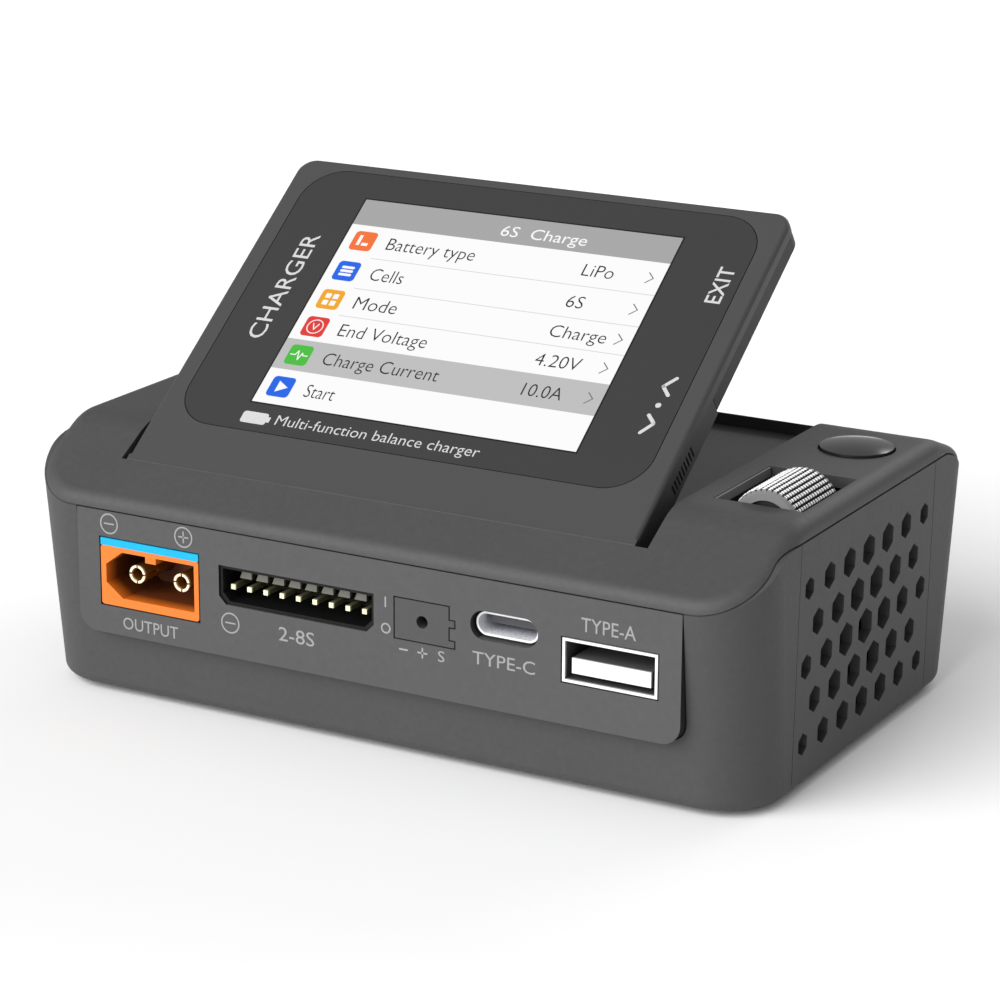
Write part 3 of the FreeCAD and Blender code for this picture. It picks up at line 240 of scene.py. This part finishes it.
def shaded_by_depth(name, face_colour, shaded_colour, start, run, roughness=0.42):
    """A socket's part that darkens over a run of depth behind the front or rear panel's face: painted shade
    inside the socket.
    """
    f = Finish(name)
    fine, broad = f.noise(3000, 4), f.noise(90, 3)
    from_middle = f.axis("Y").math("ABSOLUTE")
    depth = f.node("ShaderNodeClamp", Value=((-PANEL_FACE - start) * MM - from_middle) / (run * MM))
    # Deeper in, the face colour blends into the darker colour, a painted shade in the socket.
    f.set(Base_Color=f.blend(depth + broad * 0.08, face_colour, shaded_colour),
          Roughness=fine * 0.15 + roughness)
    return f.bump(fine, 0.4, 0.000008).material


def knurled(name, colour, floor_radius, crest_radius, front_rim=0.45, rear_rim=0.5):
    """Bright plating on the crests, whose white base colour is partly painted highlight, with black valleys
    of painted shade, told apart by the distance from the roller's axis.
    """
    f = Finish(name)
    marks = f.noise(2500, 4)
    across, up = f.axis("X") - ROLLER_X * MM, f.axis("Z") - ROLLER_Z * MM
    distance = (across * across + up * up).math("SQRT")
    rise = (crest_radius - floor_radius) * MM
    crest = f.node("ShaderNodeClamp", Value=(distance - floor_radius * MM) / rise)
    first, last = (ROLLER_START + front_rim) * MM, (ROLLER_START + ROLLER_LENGTH - rear_rim) * MM
    in_rows = f.axis("Y").above(first) * f.axis("Y").math("LESS_THAN", last)
    # The near-black valleys are painted shade. The white, mostly non-metallic crests are the plating's
    # brightness with a painted highlight.
    teeth = f.blend(crest, (0.006, 0.006, 0.006, 1), colour)
    f.set(Base_Color=f.blend(in_rows, (0.16, 0.16, 0.16, 1), teeth), Metallic=crest * in_rows * 0.4,
          Roughness=0.6 - crest * 0.25 + marks * 0.1)
    return f.bump(marks, 0.3, 0.000004).material


BODY_GREY = tone(62, 62, 63)
M = {
    "case": moulded("case_plastic", BODY_GREY, 0.58, 2600, 0.00003, 0.2, 0.4),
    # The panel's faces that look along +X are tinted near-black, a painted shade on its right side walls.
    "panel": moulded("panel_plastic", tone(71, 71, 72), 0.6, 2600, 0.00002, 0.16, 0.35,
                     (0.012, 0.012, 0.012, 1)),
    "screen_frame": moulded("frame_plastic", tone(58, 58, 59), 0.5, 5200, 0.000012, 0.06, 0.4),
    "screen_glass": moulded("cover_window", tone(44, 44, 45), 0.45, 7000, 0.000003, 0.03, 0.35),
    "black_plastic": moulded("black_plastic", tone(16, 16, 16), 0.5, 3800, 0.000012, 0.10, 0.2),
    "screen_back": moulded("screen_back_plastic", tone(26, 26, 26), 0.5, 3800, 0.000015, 0.10, 0.3),
    # The orange plastic darkens with depth into its socket, a painted shade.
    "orange_plastic": shaded_by_depth("orange_plastic", tone(222, 112, 18), tone(92, 42, 6), 0.1, 2.6),
    "cyan_plastic": moulded("cyan_plastic", tone(0, 160, 208), 0.4, 3000, 0.000006, 0.05, 0.3),
    "signal": moulded("signal_plastic", tone(67, 67, 67), 0.6, 4200, 0.00002, 0.09, 0.35),
    "gold": metal("gold_plating", (0.95, 0.72, 0.32, 1), 0.28, (1, 0.2, 1), 1500),
    "plated_steel": metal("nickel_plating", (0.82, 0.82, 0.82, 1), 0.2, (1, 0.15, 1), 1200),
    "white_plastic": moulded("white_plastic", tone(238, 238, 236), 0.4, 3000, 0.000006, 0.02),
    "steel": metal("zinc_plating", (0.55, 0.55, 0.56, 1), 0.35),
    # The ports' shells and tongues and the pins darken with depth into their sockets, a painted shade.
    "port_shell": shaded_by_depth("port_shell", (0.76, 0.76, 0.77, 1), tone(74, 74, 76), 0.03, 0.5, 0.25),
    "port_tongue": shaded_by_depth("port_tongue", (0.74, 0.74, 0.74, 1), tone(84, 84, 84), 0.52, 0.4, 0.4),
    "small_shell": shaded_by_depth("small_shell", (0.85, 0.85, 0.87, 1), (0.55, 0.56, 0.62, 1), 1.1, 3.0, 0.2),
    "small_tongue": moulded("small_tongue", tone(72, 72, 74), 0.5, 3800, 0.000012, 0.1, 0.3),
    "pin_gold": shaded_by_depth("pin_gold", (0.88, 0.84, 0.55, 1), tone(88, 86, 62), 1.25, 0.4, 0.3),
    "barrel_gold": shaded_by_depth("barrel_gold", (0.95, 0.86, 0.62, 1), tone(126, 74, 18), 2.25, 0.4, 0.25),
    "knurled_metal": knurled("roller_plating_painted_light", (0.95, 0.95, 0.95, 1), 4.79, 4.9),
    "aluminium": metal("extruded_aluminium", (0.72, 0.72, 0.73, 1), 0.4, (1, 0.08, 1), 1500),
    "board": circuit("solder_mask"),
    "dark_component": moulded("epoxy", tone(36, 36, 38), 0.55, 2500, 0.00001, 0.14),
    "rubber": ribbed_rubber("foot_rubber"),
    "button": moulded("button_plastic", tone(34, 34, 35), 0.14, 5000, 0.000001, 0.04, 0.5),
}
OWN_FINISH = {
    "usb_a_shell": "port_shell", "usb_a_tongue": "port_tongue", "usb_c_shell": "small_shell",
    "usb_c_tongue": "small_tongue", "balance_pins": "pin_gold", "output_pins": "barrel_gold",
    "exit_button": "button", "signal_port": "signal", "screen_back": "screen_back",
    "roller_cradle": "black_plastic",
}
slots = {row["node"]: row["material_slot"] for row in frame["record"]["subparts"]}
for label, thing in nodes.items():
    thing.data.materials.clear()
    thing.data.materials.append(M[OWN_FINISH.get(label, slots[label])])


# ---------------------------------------------------------------- making pieces
def finish_piece(name, bm, materials, body, replaces=None, smooth=False):
    """Turn millimetre bmesh data into a piece that sits at the origin and rides on a body."""
    bmesh.ops.recalc_face_normals(bm, faces=bm.faces)
    bmesh.ops.scale(bm, vec=(MM, MM, MM), verts=bm.verts)
    mesh = bpy.data.meshes.new(name)
    for face in bm.faces:
        face.smooth = smooth
    bm.to_mesh(mesh)
    bm.free()
    for material in materials:
        mesh.materials.append(material)
    piece = bpy.data.objects.new(name, mesh)
    bpy.context.scene.collection.objects.link(piece)
    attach(piece, body)
    if replaces:
        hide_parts(replaces)
    return piece


def stamp(bm, shape, where, index):
    """Add a small shape to a drawing, set down with a matrix, in one of its inks."""
    for face in shape.faces:
        face.material_index = index
    shape.transform(where)
    scrap = bpy.data.meshes.new("scrap")
    shape.to_mesh(scrap)
    shape.free()
    bm.from_mesh(scrap)
    bpy.data.meshes.remove(scrap)


def thicken(shape, faces, thickness):
    """Extrude flat faces upwards into a plate."""
    raised = bmesh.ops.extrude_face_region(shape, geom=faces)["geom"]
    corners = [item for item in raised if isinstance(item, bmesh.types.BMVert)]
    bmesh.ops.translate(shape, vec=(0, 0, thickness), verts=corners)


def plate(points, low, high):
    """A thin plate with a polygon outline."""
    shape = bmesh.new()
    face = shape.faces.new([shape.verts.new((x, y, low)) for x, y in points])
    thicken(shape, [face], high - low)
    return shape


def rounded(left, low, right, high, radius, steps=6):
    """The outline of a rectangle with round corners."""
    corners = [(right - radius, high - radius, 0), (left + radius, high - radius, 90),
               (left + radius, low + radius, 180), (right - radius, low + radius, 270)]
    turns = [(x, y, rad(start + 90 * i / steps)) for x, y, start in corners for i in range(steps + 1)]
    return [(x + radius * math.cos(turn), y + radius * math.sin(turn)) for x, y, turn in turns]


def oblong(left, low, right, high):
    """The outline of a rectangle."""
    return [(left, low), (right, low), (right, high), (left, high)]


def ring(x, y, outer, inner, low, high, steps=40):
    """A flat ring, as an annulus of quads with some thickness."""
    shape = bmesh.new()
    circles = []
    for radius in (outer, inner):
        made = bmesh.ops.create_circle(shape, cap_ends=False, segments=steps, radius=radius)
        circles.append([e for e in shape.edges if e.verts[0] in made["verts"]])
    bmesh.ops.bridge_loops(shape, edges=circles[0] + circles[1])
    thicken(shape, shape.faces[:], high - low)
    bmesh.ops.translate(shape, vec=(x, y, low), verts=shape.verts)
    return shape


def stroke(points, width, low, high):
    """A round-ended line through points."""
    shape = bmesh.new()
    for (x0, y0), (x1, y1) in zip(points, points[1:]):
        length, turn = math.hypot(x1 - x0, y1 - y0), math.atan2(y1 - y0, x1 - x0)
        outline = rounded(-width / 2, -width / 2, length + width / 2, width / 2, width / 2 * 0.98)
        bar = plate(outline, low, high)
        where = Matrix.Translation((x0, y0, 0)) @ Matrix.Rotation(turn, 4, "Z")
        stamp(shape, bar, where, 0)
    return shape


def lettering(text, left, low, right, high, base=INK_LOW, top=INK_HIGH, weight=0.0, upright=False):
    """Text as a mesh that fills a box; upright text reads from bottom to top."""
    curve = bpy.data.curves.new("scrap", "FONT")
    curve.body, curve.resolution_u, curve.offset, curve.extrude = text, 3, weight, 0.5
    maker = bpy.data.objects.new("scrap", curve)
    mesh = bpy.data.meshes.new_from_object(maker)
    shape = bmesh.new()
    shape.from_mesh(mesh)
    bpy.data.objects.remove(maker)
    bpy.data.curves.remove(curve)
    bpy.data.meshes.remove(mesh)
    bmesh.ops.remove_doubles(shape, verts=shape.verts, dist=1e-5)
    if upright:
        bmesh.ops.rotate(shape, matrix=Matrix.Rotation(rad(90), 3, "Z"), verts=shape.verts)
    xs, ys, zs = zip(*[v.co for v in shape.verts])
    for vert in shape.verts:
        vert.co.x = left + (vert.co.x - min(xs)) / (max(xs) - min(xs)) * (right - left)
        vert.co.y = low + (vert.co.y - min(ys)) / (max(ys) - min(ys)) * (high - low)
        vert.co.z = base + (vert.co.z - min(zs)) / (max(zs) - min(zs)) * (top - base)
    return shape


# ---------------------------------------------------------------- print on the front panel
def pole_sign(x, z, plus):
    """A ringed minus or plus beside a socket's pole."""
    signs = [ring(x, z, 1.43, 1.23, INK_LOW, INK_HIGH)]
    signs.append(stroke([(x - 0.72, z), (x + 0.72, z)], 0.2, INK_LOW, INK_HIGH))
    if plus:
        signs.append(stroke([(x, z - 0.72), (x, z + 0.72)], 0.2, INK_LOW, INK_HIGH))
    return signs


def panel_print():
    """The poles, contacts and names of the sockets, printed beside them."""
    ink = pole_sign(-39.57, 25.14, False) + pole_sign(-27.74, 25.15, True) + pole_sign(-20.6, 14.6, False)
    ink.append(lettering("OUTPUT", -37.7, 10.9, -28.9, 12.55))
    ink.append(lettering("2-8S", -13.1, 13.55, -7.7, 15.45))
    ink.append(stroke([(3.0, 20.9), (3.0, 22.1)], 0.22, INK_LOW, INK_HIGH))
    ink.append(ring(3.05, 18.0, 0.72, 0.5, INK_LOW, INK_HIGH, 24))
    for start, end in (((5.1, 15.6), (6.2, 15.6)), ((7.8, 15.6), (9.05, 15.6)), ((8.42, 15.0), (8.42, 16.2))):
        ink.append(stroke([start, end], 0.24, INK_LOW, INK_HIGH))
    ink.append(lettering("S", 10.7, 14.9, 11.65, 16.35))
    ink.append(lettering("TYPE-C", 15.7, 15.55, 24.6, 17.25))
    ink.append(lettering("TYPE-A", 31.0, 22.45, 38.5, 24.25))
    bm = bmesh.new()
    for shape in ink:
        stamp(bm, shape, ON_PANEL, 0)
    return finish_piece("panel_print", bm, [printed("panel_ink", tone(142, 142, 142))], "base")


panel_print()


# ---------------------------------------------------------------- print on the screen's window
def window_print():
    """Words along three sides of the display, two arrows with a dot, and a small battery."""
    ink = [lettering("CHARGER", -34.3, 18.6, -31.7, 37.6, upright=True),
           lettering("Multi-function balance charger", -22.8, 4.4, 8.1, 6.6, weight=-0.006),
           lettering("EXIT", 28.1, 34.8, 30.35, 41.0, weight=0.008, upright=True),
           stroke([(29.55, 21.95), (28.25, 20.4), (29.45, 19.1)], 0.5, INK_LOW, INK_HIGH),
           stroke([(28.2, 15.6), (29.4, 14.4), (28.15, 12.7)], 0.5, INK_LOW, INK_HIGH)]
    dot = (28.41, 16.93, 29.21, 17.73)
    battery = (-28.15, 4.6, -24.2, 6.5)
    battery_cap = (-24.2, 5.1, -23.75, 6.0)
    for outline, radius in ((dot, 0.39), (battery, 0.4), (battery_cap, 0.1)):
        ink.append(plate(rounded(*outline, radius), INK_LOW, INK_HIGH))
    bm = bmesh.new()
    for shape in ink:
        stamp(bm, shape, ON_SCREEN, 0)
    inks = [printed("window_ink", tone(186, 186, 186))]
    return finish_piece("window_print", bm, inks, "screen")


window_print()


# ---------------------------------------------------------------- what the display shows
SHADES = {
    "paper": (252, 252, 252), "bar": (168, 168, 168), "row": (192, 192, 192), "line": (214, 214, 214),
    "text": (40, 40, 40), "arrow": (120, 120, 120), "orange": (246, 118, 58), "blue": (36, 104, 232),
    "amber": (243, 170, 40), "red": (226, 62, 58), "green": (76, 192, 66), "rim": (30, 30, 30),
}
PICTURE = {shade: glowing("display_" + shade, tone(*values)) for shade, values in SHADES.items()}
INKS = list(PICTURE)

# Layers of the picture, from the rim up to the glyphs.
RIM = (-0.01, 0.006)
PAPER = (0, 0.012)
BAND = (0.008, 0.018)
MARK = (0.02, 0.03)
GLYPH = (0.03, 0.04)


def cell_glyph(x, y):
    return [plate(oblong(x - 0.9, y - 0.8, x - 0.4, y + 1), *GLYPH),
            plate(oblong(x - 0.1, y - 0.8, x + 0.9, y - 0.3), *GLYPH)]


def stack_glyph(x, y):
    return [plate(rounded(x - 1, y + rise - 0.22, x + 1, y + rise + 0.22, 0.18), *GLYPH)
            for rise in (-0.65, 0, 0.65)]


def grid_glyph(x, y):
    return [plate(rounded(x + a - 0.42, y + b - 0.42, x + a + 0.42, y + b + 0.42, 0.1), *GLYPH)
            for a in (-0.6, 0.6) for b in (-0.6, 0.6)]


def dial_glyph(x, y):
    needle = [(x - 0.45, y + 0.5), (x, y - 0.5), (x + 0.45, y + 0.5)]
    return [ring(x, y, 1.25, 1.1, *GLYPH, 28), stroke(needle, 0.16, *GLYPH)]


def pulse_glyph(x, y):
    beat = [(-1.3, 0), (-0.6, 0), (-0.3, 0.7), (0.1, -0.8), (0.4, 0.4), (0.6, 0), (1.3, 0)]
    return [stroke([(x + run, y + rise) for run, rise in beat], 0.16, *GLYPH)]


def play_glyph(x, y):
    return [plate([(x - 0.6, y - 0.95), (x + 1.05, y), (x - 0.6, y + 0.95)], *GLYPH)]


def display():
    """A menu of six rows under a title bar, one row picked out."""
    left, right, low, high = -27.96, 20.97, 8.21, 44.97
    row_edges = [40.38, 34.77, 29.29, 24.37, 19.43, 14.16, low]
    picked, ruled_rows = 4, 3
    rows = [
        ("Battery type", -7.2, "LiPo", 9.3, 13.9, cell_glyph, "orange"),
        ("Cells", -15.8, "6S", 9.3, 11.8, stack_glyph, "blue"),
        ("Mode", -14.3, "Charge", 9.1, 17.4, grid_glyph, "amber"),
        ("End Voltage", -7.3, "4.20V", 9.1, 15.7, dial_glyph, "red"),
        ("Charge Current", -3.1, "10.0A", 9.5, 15.3, pulse_glyph, "green"),
        ("Start", -16.4, "", 0, 0, play_glyph, "blue"),
    ]
    bm = bmesh.new()

    def add(ink, *shapes):
        for shape in shapes:
            stamp(bm, shape, ON_SCREEN, INKS.index(ink))

    def words(text, start, middle, end, rise):
        """A line of thin letters, lower where a letter hangs below the line."""
        drop = 1.7 if any(letter in text for letter in "gyp") else 1.05
        return lettering(text, start, middle - drop, end, middle + rise, *MARK, -0.009)

    add("rim", plate(oblong(left - 0.25, low - 0.25, right + 0.25, high + 0.25), *RIM))
    add("paper", plate(oblong(left, low, right, high), *PAPER))
    add("bar", plate(oblong(left, row_edges[0], right, high), *BAND))
    add("row", plate(oblong(left, row_edges[picked + 1], right, row_edges[picked]), *BAND))
    add("paper", lettering("6S  Charge", -5.3, 40.95, 7.8, 43.4, *MARK, -0.002))
    for number, (name, name_end, value, value_start, value_end, glyph, colour) in enumerate(rows):
        top, floor = row_edges[number], row_edges[number + 1]
        middle = (top + floor) / 2
        add("text", words(name, -20.95, middle, name_end, 1.1))
        if value:
            add("text", words(value, value_start, middle, value_end, 1.0))
            arrow = [(18.75, middle + 0.88), (19.65, middle), (18.75, middle - 0.88)]
            add("arrow", stroke(arrow, 0.16, *MARK))
        if number < ruled_rows:
            add("line", plate(oblong(-22.3, floor - 0.06, right, floor + 0.06), *BAND))
        add(colour, plate(rounded(-26.6, middle - 1.72, -23.1, middle + 1.72, 0.6), *MARK))
        add("paper", *glyph(-24.85, middle))
    return finish_piece("display_picture", bm, list(PICTURE.values()), "screen")


display()


# ---------------------------------------------------------------- painted light inside the balance socket
def balance_painted_light():
    """Pale plates between the pins on the upper back of the socket's well: painted light where that wall is
    lit between the pins' shadows.
    """
    first_pin, pitch, gaps, low, high = -20.85, 2.5, 8, 20.2, 21.55
    bm = bmesh.new()
    for gap in range(gaps):
        middle = first_pin + pitch * (gap + 0.5)
        outline = [(middle - 0.85, low), (middle + 0.95, low), (middle + 0.95, high), (middle - 0.3, high)]
        stamp(bm, plate(outline, -2.6, -2.2), ON_PANEL, 0)
    # The pale grey colour of these plates is painted light.
    plastic = moulded("balance_light_paint", tone(104, 104, 96), 0.5)
    return finish_piece("balance_painted_light", bm, [plastic], "base")


balance_painted_light()


# ---------------------------------------------------------------- liner of the roller's window
def window_liner():
    """A pale strip on the left wall of the window that the roller stands in."""
    bm = bmesh.new()
    stamp(bm, plate(rounded(39.61, -16.8, 39.9, -0.6, 0.05, 2), 34.75, 35.9), Matrix.Identity(4), 0)
    plastic = moulded("liner_plastic", tone(112, 112, 112), 0.5)
    return finish_piece("window_liner", bm, [plastic], "base")


window_liner()


# ---------------------------------------------------------------- knurled roller
def roller():
    """A cylinder with rows of pyramid teeth along it, plain chamfered ends and a dished front face."""
    rows, teeth, depth, rim, rim_drop = 39, 17, 0.42, 0.45, 0.3
    bm = bmesh.new()
    bmesh.ops.create_grid(bm, x_segments=rows * 9, y_segments=teeth * 6, size=1)

    def tooth(way, steep):
        """0 in the groove on either side and 1 over a flat crest."""
        return min(1.0, steep * (1 - abs(2 * (way % 1) - 1)))

    for vert in bm.verts:
        turn, way = (vert.co.x + 1) / 2, (vert.co.y + 1) / 2
        run = way * ROLLER_LENGTH
        margin = min(run, ROLLER_LENGTH - run)
        crest = min(tooth(turn * rows, 1.6), 0.1 + 0.9 * tooth(way * teeth, 1.15))
        height = ROLLER_RADIUS - depth * (1 - crest)
        if margin < rim:
            height = min(height, ROLLER_RADIUS - rim_drop - (rim - margin) * 0.7)
        angle = turn * 2 * math.pi
        across, up = height * math.cos(angle), height * math.sin(angle)
        vert.co = Vector((ROLLER_X + across, ROLLER_START + run, ROLLER_Z + up))
    bmesh.ops.remove_doubles(bm, verts=bm.verts, dist=1e-4)
    open_edges = [edge for edge in bm.edges if edge.is_boundary]
    ends = bmesh.ops.holes_fill(bm, edges=open_edges, sides=0)["faces"]
    front = [end for end in ends if end.calc_center_median().y < ROLLER_START + 1]
    for sink, inset in ((0.0, 0.9), (0.6, 0.05), (0.0, 1.5), (-0.6, 0.05)):
        bmesh.ops.inset_region(bm, faces=front, thickness=inset, depth=0)
        for face in front:
            bmesh.ops.translate(bm, vec=(0, sink, 0), verts=face.verts)
    return finish_piece("roller_knurl", bm, [M["knurled_metal"]], "roller", "roller")


roller()


# ---------------------------------------------------------------- floor, light and camera
def studio():
    """A pale floor under an even sky, a broad low sun from the front left and a strip light behind."""
    floor_mesh = bmesh.new()
    bmesh.ops.create_grid(floor_mesh, x_segments=1, y_segments=1, size=4)
    mesh = bpy.data.meshes.new("floor")
    floor_mesh.to_mesh(mesh)
    floor_mesh.free()
    f = Finish("floor_paint", Roughness=0.9, Specular_IOR_Level=0.1)
    mottle = f.noise(3, 2)
    f.set(Base_Color=f.blend(mottle, (0.93, 0.93, 0.93, 1), (0.96, 0.96, 0.96, 1)))
    mesh.materials.append(f.material)
    floor = bpy.data.objects.new("floor", mesh)
    bpy.context.scene.collection.objects.link(floor)

    world = bpy.data.worlds.new("studio")
    world.use_nodes = True
    sky = world.node_tree.nodes["Background"]
    sky.inputs["Color"].default_value = (1, 1, 1, 1)
    sky.inputs["Strength"].default_value = 0.43
    bpy.context.scene.world = world
    bpy.context.scene.view_settings.view_transform = "Standard"

    key = bpy.data.lights.new("key", "SUN")
    key.energy, key.angle = 3.9, rad(60)
    strip = bpy.data.lights.new("strip", "AREA")
    strip.shape, strip.size, strip.size_y, strip.energy = "RECTANGLE", 0.55, 0.14, 1.5
    target = Vector((0, 0, 0.03))
    for light, place in ((key, (-0.4, -1.0, 0.62)), (strip, (0.13, 0.68, 0.40))):
        lamp = bpy.data.objects.new(light.name, light)
        lamp.location = place
        lamp.rotation_euler = (target - Vector(place)).to_track_quat("-Z", "Y").to_euler()
        bpy.context.scene.collection.objects.link(lamp)


def camera():
    turn, rise, roll = rad(29.29), rad(16.76), rad(0.33)
    back = Vector((math.sin(turn) * math.cos(rise), -math.cos(turn) * math.cos(rise), math.sin(rise)))
    right = Vector((math.cos(turn), math.sin(turn), 0))
    up = back.cross(right)
    level = math.cos(roll) * right + math.sin(roll) * up
    tall = -math.sin(roll) * right + math.cos(roll) * up
    data = bpy.data.cameras.new("camera")
    data.lens, data.sensor_width, data.clip_start = 120.70, 36, 0.01
    eye = bpy.data.objects.new("camera", data)
    facing = Matrix((level, tall, back)).transposed().to_4x4()
    eye.matrix_world = Matrix.Translation((0.21190, -0.37844, 0.15587)) @ facing
    bpy.context.scene.collection.objects.link(eye)
    bpy.context.scene.camera = eye


studio()
camera()
